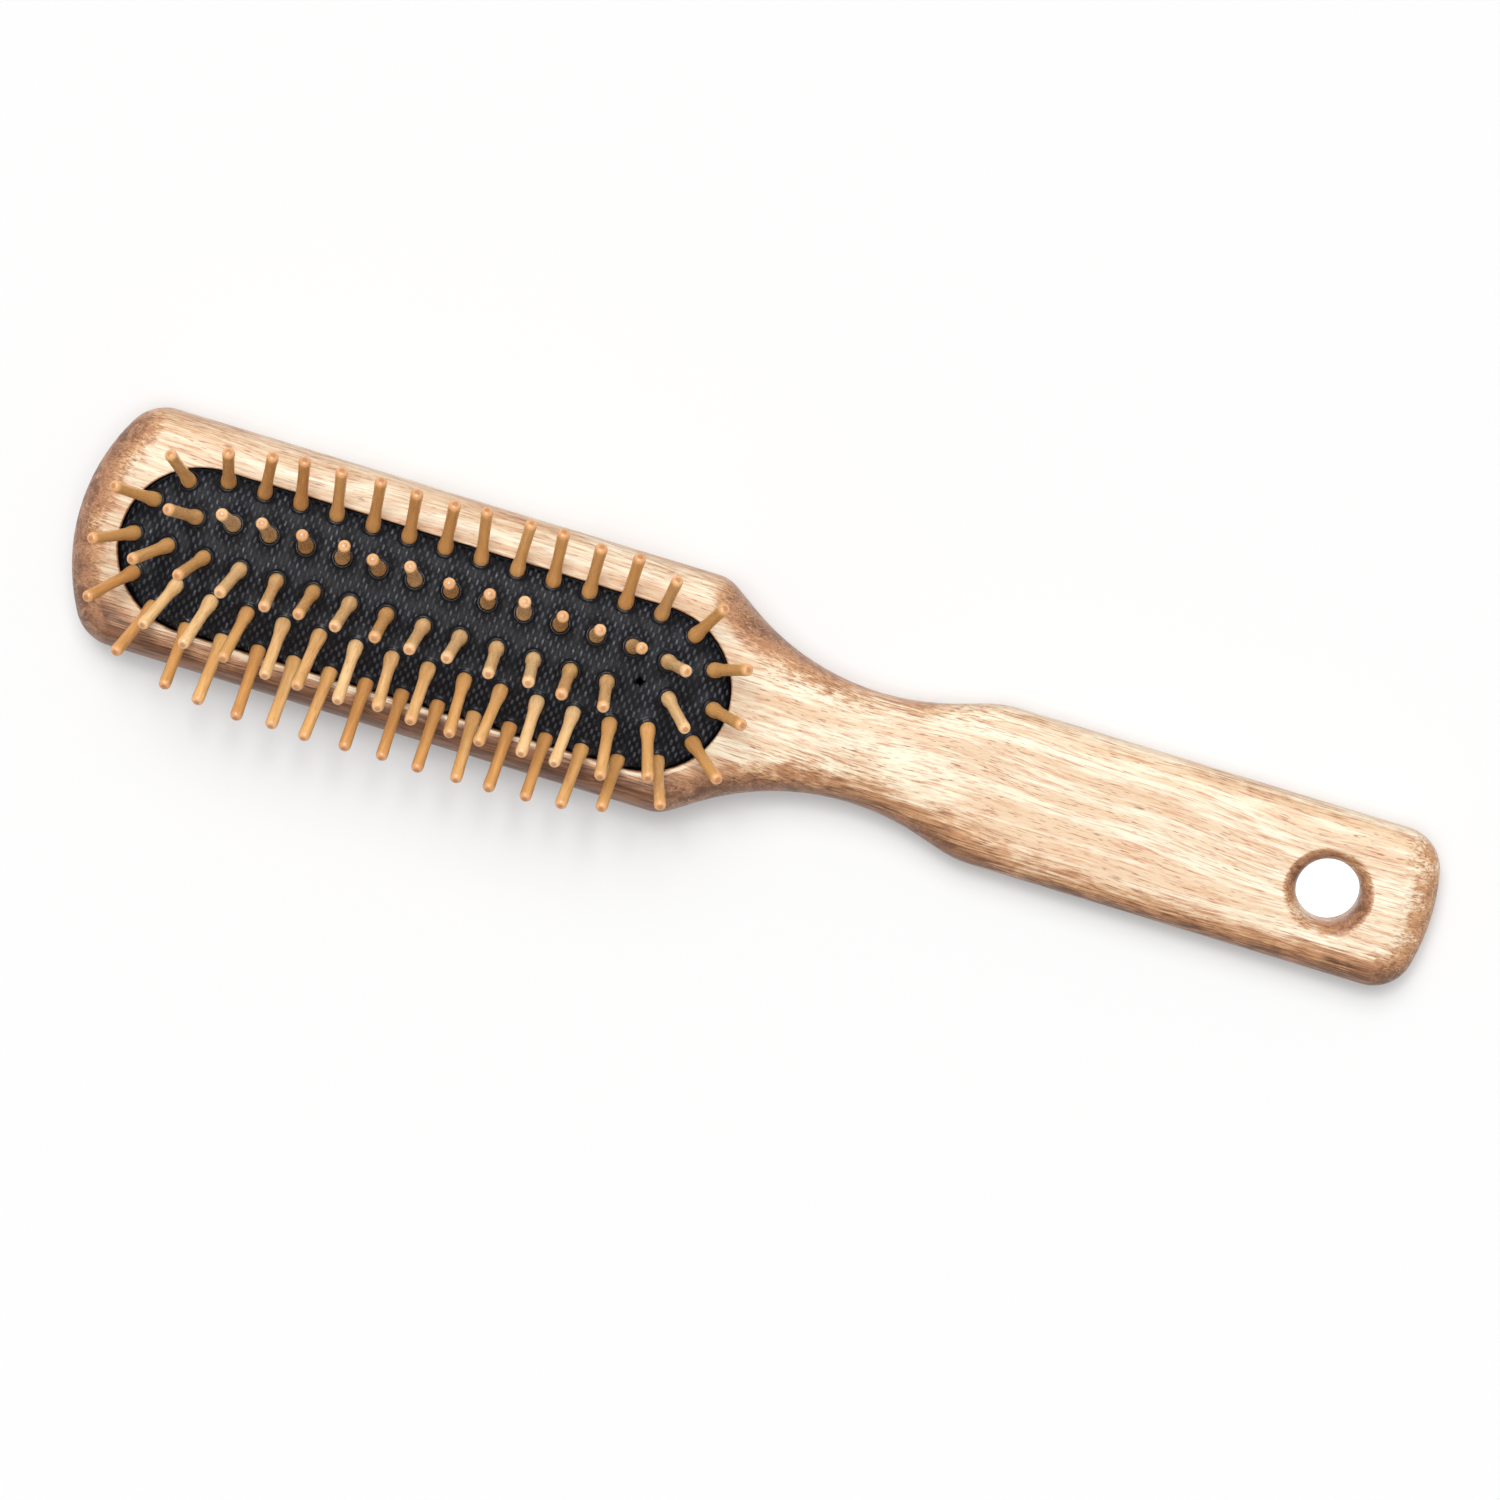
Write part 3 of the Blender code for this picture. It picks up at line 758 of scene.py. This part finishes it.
def pin_layout():
    """(piece name, CAD node and body name, base point, direction) of all 78 pins."""
    scatter = random.Random(SCATTER_SEED)
    half = RING_PITCH * (RING_PINS - 1) / 2
    pins = []
    for i in range(RING_PINS):
        x = i * RING_PITCH - half
        for side, y in (("left", RING_RADIUS), ("right", -RING_RADIUS)):
            node = f"{side}_ring_pin_{i + 1:02d}"
            pins.append((f"wooden_{node}", node, *pin_pose(x, y, True, scatter)))
    for i, degrees in enumerate(RING_END_ANGLES):
        angle = math.radians(degrees)
        x = half + RING_RADIUS * math.cos(angle)
        y = RING_RADIUS * math.sin(angle)
        for end, sign in (("toe", -1), ("waist", 1)):
            node = f"{end}_ring_pin_{i + 1}"
            pins.append((f"wooden_{node}", node, *pin_pose(sign * x, y, True, scatter)))
    for row, side in (("left", 1), ("centre", 0), ("right", -1)):
        for i in range(ROW_PINS):
            node = f"{row}_row_pins_{i // 2 + 1}"
            pose = pin_pose(*row_place(side, i), False, scatter)
            pins.append((f"wooden_{row}_row_pin_{i + 1:02d}", node, *pose))
    return pins


def row_place(side, i):
    if side == 0:
        last = i == ROW_PINS - 1
        return (CENTRE_ROW_LAST if last else CENTRE_ROW_START + i * CENTRE_ROW_PITCH, 0)
    offset = SIDE_ROW_END_OFFSET if i in (0, ROW_PINS - 1) else SIDE_ROW_OFFSET
    return ((i - (ROW_PINS - 1) / 2) * SIDE_ROW_PITCH, side * offset)


# Cushion

# (distance from the pin's axis, height over the skin) across a moulded collar
COLLAR = (
    (1.28 * MM, 0.22 * MM),
    (1.34 * MM, 0.34 * MM),
    (1.46 * MM, 0.42 * MM),
    (1.6 * MM, 0.38 * MM),
    (1.74 * MM, 0.22 * MM),
    (1.86 * MM, 0.08 * MM),
    (2.05 * MM, 0.0),
    (2.4 * MM, 0.0),
)
COLLAR_SIDES = 20
COLLAR_EDGE = (1.75 * MM, 2.1 * MM)  # where the smooth collar gives way to the cloth imprint
AXIS_SPAN = (1.3 * MM, 2.5 * MM)  # where the skin turns from the pin's axis to the dome's normal
VALLEY = 0.4 * MM  # how far the skin sinks between the pins
VALLEY_SPAN = (1.7 * MM, 3.4 * MM)
DOME_TRIES = 6
SKIN_SEED = 3
SKIN_GRID = 0.65 * MM
SKIN_JITTER = 0.2
COLLAR_EDGE_ROOM = 0.12 * MM  # what loose points keep clear of the pad's edge
GRID_EDGE_ROOM = 0.5 * MM
GRID_PIN_ROOM = 2.5 * MM
GRID_VENT_ROOM = 1.5 * MM
HOLE_FLARE = 0.55 * MM
FLARE_REACH = 2.4 * MM
INNER_RADIUS = RING_RADIUS * 0.8  # the pins within it are inner ones


def collar_height(distance):
    radii = [row[0] for row in COLLAR]
    heights = [row[1] for row in COLLAR]
    return float(np.interp(distance, radii, heights))


def hole_flare(point, base, direction):
    """How far the lining draws back from an inner pin, because a pair of these slides along the
    mean of its two axes. A ring pin slides along its own axis and needs no room."""
    distance = axis_distance(point, base, direction)
    if distance > FLARE_REACH or ring_radius_at(base.x - PAD_X, base.y) > INNER_RADIUS:
        return Vector()
    arm = point - base
    away = (arm - direction * arm.dot(direction)).normalized()
    return away * (HOLE_FLARE * (1 - smoothstep(COLLAR[0][0], FLARE_REACH, distance)))


def axis_distance(point, base, direction):
    return (point - base).cross(direction).length


def onto_dome(point, direction):
    """Where the line through a point along a direction meets the dome, as pad x and y."""
    for _ in range(DOME_TRIES):
        gap = dome_height(point.x - PAD_X, point.y) - point.z
        normal = dome_normal(point.x - PAD_X, point.y)
        point = point + direction * (gap * normal.z / normal.dot(direction))
    return point.x - PAD_X, point.y


def collar_loops(base, direction):
    side = direction.orthogonal().normalized()
    other = direction.cross(side)
    loops = []
    for radius, _ in COLLAR:
        loop = []
        for i in range(COLLAR_SIDES):
            angle = i / COLLAR_SIDES * math.tau
            arm = side * math.cos(angle) + other * math.sin(angle)
            loop.append(onto_dome(base + arm * radius, direction))
        loops.append(loop)
    return loops


def vent_loop():
    """A small star-shaped slit."""
    loop = []
    for i, radius in enumerate(VENT_STAR):
        angle = i / len(VENT_STAR) * math.tau + VENT_TURN
        loop.append((VENT[0] + radius * math.cos(angle), VENT[1] + radius * math.sin(angle)))
    return loop


def make_cushion(pins, material):
    poses = [(base, direction) for _, _, base, direction in pins]
    border = slot_ring(EDGE_RADIUS)
    loops = [border]
    loose = []
    for base, direction in poses:
        rings = collar_loops(base, direction)
        loops.append(rings[0])
        for ring in rings[1:]:
            loose += [p for p in ring if ring_radius_at(*p) < EDGE_RADIUS - COLLAR_EDGE_ROOM]
    loops.append(vent_loop())
    loose += skin_grid(poses)
    holes = [np.array(loop) for loop in loops]
    flat = [p for loop in loops for p in loop] + loose
    b = Builder("weave", "collar")
    skin = [add_skin_vertex(b, place, poses, 0.0) for place in flat]
    lining = [add_skin_vertex(b, place, poses, MEMBRANE) for place in flat]
    centres = np.array([[base.x - PAD_X, base.y] for base, _ in poses])

    def keep(c):
        near = np.hypot(*(centres - (c.x, c.y)).T).argmin()
        if in_polygon(c, holes[1 + near]) or in_polygon(c, holes[-1]):
            return False
        return in_polygon(c, holes[0])

    kept = triangulate(loops, loose, keep)
    b.faces += [tuple(skin[i] for i in face) for face in kept]
    b.faces += [tuple(lining[i] for i in reversed(face)) for face in kept]
    start = len(border)
    for loop in loops[1:]:
        b.loft(skin[start:start + len(loop)], lining[start:start + len(loop)])
        start += len(loop)
    rim = cushion_rim(b)
    b.loft(skin[:len(border)], rim[0])
    for ring, following in zip(rim, rim[1:]):
        b.loft(ring, following)
    b.loft(rim[-1], lining[:len(border)])
    return b.object("rubber_cushion", material)


def cushion_rim(b):
    """The hidden rim, from the skin's edge out into the groove and back to the lining."""
    rows = (
        (EDGE_RADIUS, RIM_TOP),
        (RIM_RADIUS, RIM_TOP),
        (RIM_RADIUS, RIM_BOTTOM),
        (LINING_RADIUS, RIM_BOTTOM),
    )
    rings = []
    for radius, height in rows:
        ring = []
        for x, y in slot_ring(radius):
            ring.append(b.add((PAD_X + x, y, height), weave=(0, 0, 0), collar=1.0))
        rings.append(ring)
    return rings


def skin_grid(poses):
    """Loose points between the collars, jittered so that the triangles don't line up."""
    jitter = random.Random(SKIN_SEED)
    centres = np.array([[base.x - PAD_X, base.y] for base, _ in poses])
    columns = int((POCKET_HALF + EDGE_RADIUS) / SKIN_GRID) + 1
    rows = int(EDGE_RADIUS / SKIN_GRID) + 1
    places = []
    for i in range(-columns, columns + 1):
        for j in range(-rows, rows + 1):
            x = (i + jitter.uniform(-SKIN_JITTER, SKIN_JITTER)) * SKIN_GRID
            y = (j + jitter.uniform(-SKIN_JITTER, SKIN_JITTER)) * SKIN_GRID
            if abs(x) > POCKET_HALF + EDGE_RADIUS:
                continue
            if ring_radius_at(x, y) > EDGE_RADIUS - GRID_EDGE_ROOM:
                continue
            if np.hypot(*(centres - (x, y)).T).min() < GRID_PIN_ROOM:
                continue
            if math.hypot(x - VENT[0], y - VENT[1]) > GRID_VENT_ROOM:
                places.append((x, y))
    return places


def add_skin_vertex(b, place, poses, depth):
    x, y = place
    point = dome_point(x, y)
    normal = dome_normal(x, y)
    base, direction = min(poses, key=lambda pose: (pose[0] - point).length_squared)
    distance = axis_distance(point, base, direction)
    share = smoothstep(*AXIS_SPAN, distance)
    way = (direction * (1 - share) + normal * share).normalized()
    sunk = VALLEY * smoothstep(*VALLEY_SPAN, distance)
    if depth:
        point = point - way * (depth + sunk) + hole_flare(point, base, direction)
    else:
        point = point + way * (collar_height(distance) - sunk)
    weave = (x / MM, math.asin(max(-1, min(1, y / DOME_RADIUS))) * DOME_RADIUS / MM, 0)
    collar = 1 - smoothstep(*COLLAR_EDGE, distance)
    return b.add(point, weave=weave, collar=collar)


# Pins

# (radius, height over the skin) in mm, from the hidden head to where the tip's rounding starts
PIN_PROFILE = (
    (1.55, -3.9), (1.7, -3.75), (1.7, -2.85), (1.55, -2.7), (1.2, -2.7), (1.2, -0.4),
    (1.22, 0.3), (1.22, 0.8), (1.19, 1.25), (1.12, 1.8), (1.04, 2.4), (0.98, 3.0), (0.94, 3.7),
    (0.92, 4.8), (0.91, 7.0), (0.92, 9.5), (0.94, 11.5), (0.97, 12.5), (0.97, 13.2),
)
PIN_SIDES = 20
TIP_STEPS = 8
TIP_POWER = 0.75  # below 1 the tip is blunter than a half round
PIN_TOP = 14
PIN_BEND = 0.12
PIN_GIRTH = (0.97, 1.03)
PIN_SEED = 11
TONE_SPREAD = 0.6
RING_PALENESS = 0.1
INNER_PAINTED_LIGHT = 0.5  # painted light: the inner rows' wood is paler, to offset the shade they cast on each other


def make_pin(name, base, direction, material, chance, paleness):
    """A turned pin, a little uneven, standing on the skin and facing along its axis."""
    b = Builder("grain", "tone")
    turn = (Vector((0, 0, 1)).rotation_difference(direction) @ spun(chance)).to_matrix()
    tone = chance.random() * TONE_SPREAD + paleness
    girth = chance.uniform(*PIN_GIRTH)
    bend = Vector((chance.uniform(-PIN_BEND, PIN_BEND), chance.uniform(-PIN_BEND, PIN_BEND), 0))
    end_radius, end_height = PIN_PROFILE[-1]
    rows = list(PIN_PROFILE)
    for i in range(1, TIP_STEPS):
        angle = i / TIP_STEPS * math.pi / 2
        rise = (PIN_TOP - end_height) * math.sin(angle)
        rows.append((end_radius * math.cos(angle) ** TIP_POWER, end_height + rise))
    rings = []
    for radius, height in rows:
        girthed = radius * (girth if height > 0 else 1)
        shift = bend * max(0, height / PIN_TOP) ** 2
        ring = []
        for i in range(PIN_SIDES):
            angle = i / PIN_SIDES * math.tau
            place = Vector((girthed * math.cos(angle), girthed * math.sin(angle), height)) + shift
            ring.append(b.add(base + turn @ place * MM, grain=tuple(place), tone=tone))
        rings.append(ring)
    for ring, following in zip(rings, rings[1:]):
        b.loft(ring, following)
    ends = ((rings[0], PIN_PROFILE[0][1], Vector()), (rings[-1], PIN_TOP, bend))
    for ring, height, shift in ends:
        place = Vector((0, 0, height)) + shift
        pole = b.add(base + turn @ place * MM, grain=tuple(place), tone=tone)
        for i in range(PIN_SIDES):
            b.faces.append((ring[i], ring[(i + 1) % PIN_SIDES], pole))
    return b.object(name, material)


def spun(chance):
    return Matrix.Rotation(chance.uniform(0, math.tau), 3, "Z").to_quaternion()


# Scene

FLOOR_GAP = 0.05 * MM  # keeps the floor from meeting the brush's back
FLOOR_HALF = 6.0
FLOOR_COLOUR = (0.64, 0.64, 0.64)
FLOOR_GLOW = 0.12
HOLE_PAINTED_LIGHT = 0.85  # painted light: the floor glows within the hanging hole, so the shade there shows as white as the open floor
GLOW_EDGE = (5.6, 6.0)  # mm from the hole's centre
VIEW_TILT = 10
VIEW_ROLL = 17
VIEW_DISTANCE = 1.1
VIEW_TARGET = (0.8 * MM, -5.6 * MM, 6 * MM)
VIEW_LENS = 169.2
VIEW_CLIP = (0.05, 20)
ROOM_HORIZON = (0.02, 0.9)  # (height of the direction, strength)
ROOM_ABOVE = (0.2, 0.25)


def make_floor():
    """A pale matt floor, with a painted glow under the hanging hole that lifts its shade."""
    g = Graph("pale_floor")
    x, y, _ = g.parts(g.object_mm())
    away = g.math("SQRT", g.add(g.math("POWER", g.add(x, -HOLE_X / MM), 2.0), g.mul(y, y)))
    material = g.finish(
        Base_Color=FLOOR_COLOUR,
        Roughness=1.0,
        Specular_IOR_Level=0.0,
        Emission_Color=(1.0, 1.0, 1.0),
        Emission_Strength=g.smooth(away, *GLOW_EDGE, HOLE_PAINTED_LIGHT, FLOOR_GLOW),
    )
    mesh = bpy.data.meshes.new("floor")
    half = FLOOR_HALF
    corners = [(-half, -half, 0), (half, -half, 0), (half, half, 0), (-half, half, 0)]
    mesh.from_pydata(corners, [], [(0, 1, 2, 3)])
    mesh.materials.append(material)
    floor = bpy.data.objects.new("floor", mesh)
    floor.location.z = -FLOOR_GAP
    bpy.context.scene.collection.objects.link(floor)


def make_sun(name, direction, strength, spread):
    """A soft distant light that comes from a direction."""
    sun = bpy.data.lights.new(name, "SUN")
    sun.energy = strength
    sun.angle = math.radians(spread)
    obj = bpy.data.objects.new(name, sun)
    obj.rotation_mode = "QUATERNION"
    obj.rotation_quaternion = (-Vector(direction)).to_track_quat("-Z", "Y")
    bpy.context.scene.collection.objects.link(obj)


def make_lights():
    """A white room, brightest at the horizon, with a large soft light over the left side of the
    brush, a larger one overhead and a small one for glints."""
    world = bpy.data.worlds.new("studio")
    world.use_nodes = True
    tree = world.node_tree
    place = tree.nodes.new("ShaderNodeTexCoord")
    split = tree.nodes.new("ShaderNodeSeparateXYZ")
    level = tree.nodes.new("ShaderNodeMapRange")
    level.inputs["From Min"].default_value, level.inputs["To Min"].default_value = ROOM_HORIZON
    level.inputs["From Max"].default_value, level.inputs["To Max"].default_value = ROOM_ABOVE
    tree.links.new(place.outputs["Generated"], split.inputs[0])
    tree.links.new(split.outputs["Z"], level.inputs["Value"])
    tree.links.new(level.outputs[0], tree.nodes["Background"].inputs["Strength"])
    tree.nodes["Background"].inputs["Color"].default_value = (1, 1, 1, 1)
    bpy.context.scene.world = world
    make_sun("key_softbox", (-0.16, 0.48, 0.86), 2.0, 34)
    make_sun("overhead_softbox", (0, 0.1, 1), 1.5, 50)
    make_sun("small_lamp", (-0.2, 0.4, 0.9), 0.28, 8)


def make_camera():
    """Almost straight down, with the brush turned clockwise in the picture."""
    tilt, roll = math.radians(VIEW_TILT), math.radians(VIEW_ROLL)
    back = Vector((0, math.sin(tilt), math.cos(tilt)))
    c, s = math.cos(roll), math.sin(roll)
    right = Vector((c, s * math.cos(tilt), -s * math.sin(tilt)))
    up = Vector((-s, c * math.cos(tilt), -c * math.sin(tilt)))
    data = bpy.data.cameras.new("camera")
    data.sensor_width = 36
    data.lens = VIEW_LENS
    data.clip_start, data.clip_end = VIEW_CLIP
    camera = bpy.data.objects.new("camera", data)
    turn = Matrix((right, up, back)).transposed().to_4x4()
    camera.matrix_world = Matrix.Translation(Vector(VIEW_TARGET) + back * VIEW_DISTANCE) @ turn
    bpy.context.scene.collection.objects.link(camera)
    bpy.context.scene.camera = camera


def make_pieces():
    beech, wood, rubber = beech_material(), pin_material(), rubber_material()
    body = make_body(beech)
    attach(body, ROOT)
    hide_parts("wood_body")
    pins = pin_layout()
    cushion = make_cushion(pins, rubber)
    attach(cushion, ROOT)
    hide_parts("cushion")
    chance = random.Random(PIN_SEED)
    for name, node, base, direction in pins:
        # the inner rows get paler wood, as painted light
        paleness = INNER_PAINTED_LIGHT if "_row_" in name else RING_PALENESS
        pin = make_pin(name, base, direction, wood, chance, paleness)
        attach(pin, node)
        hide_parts(node)


bpy.context.scene.view_settings.view_transform = "Standard"
make_camera()
make_lights()
make_floor()
make_pieces()
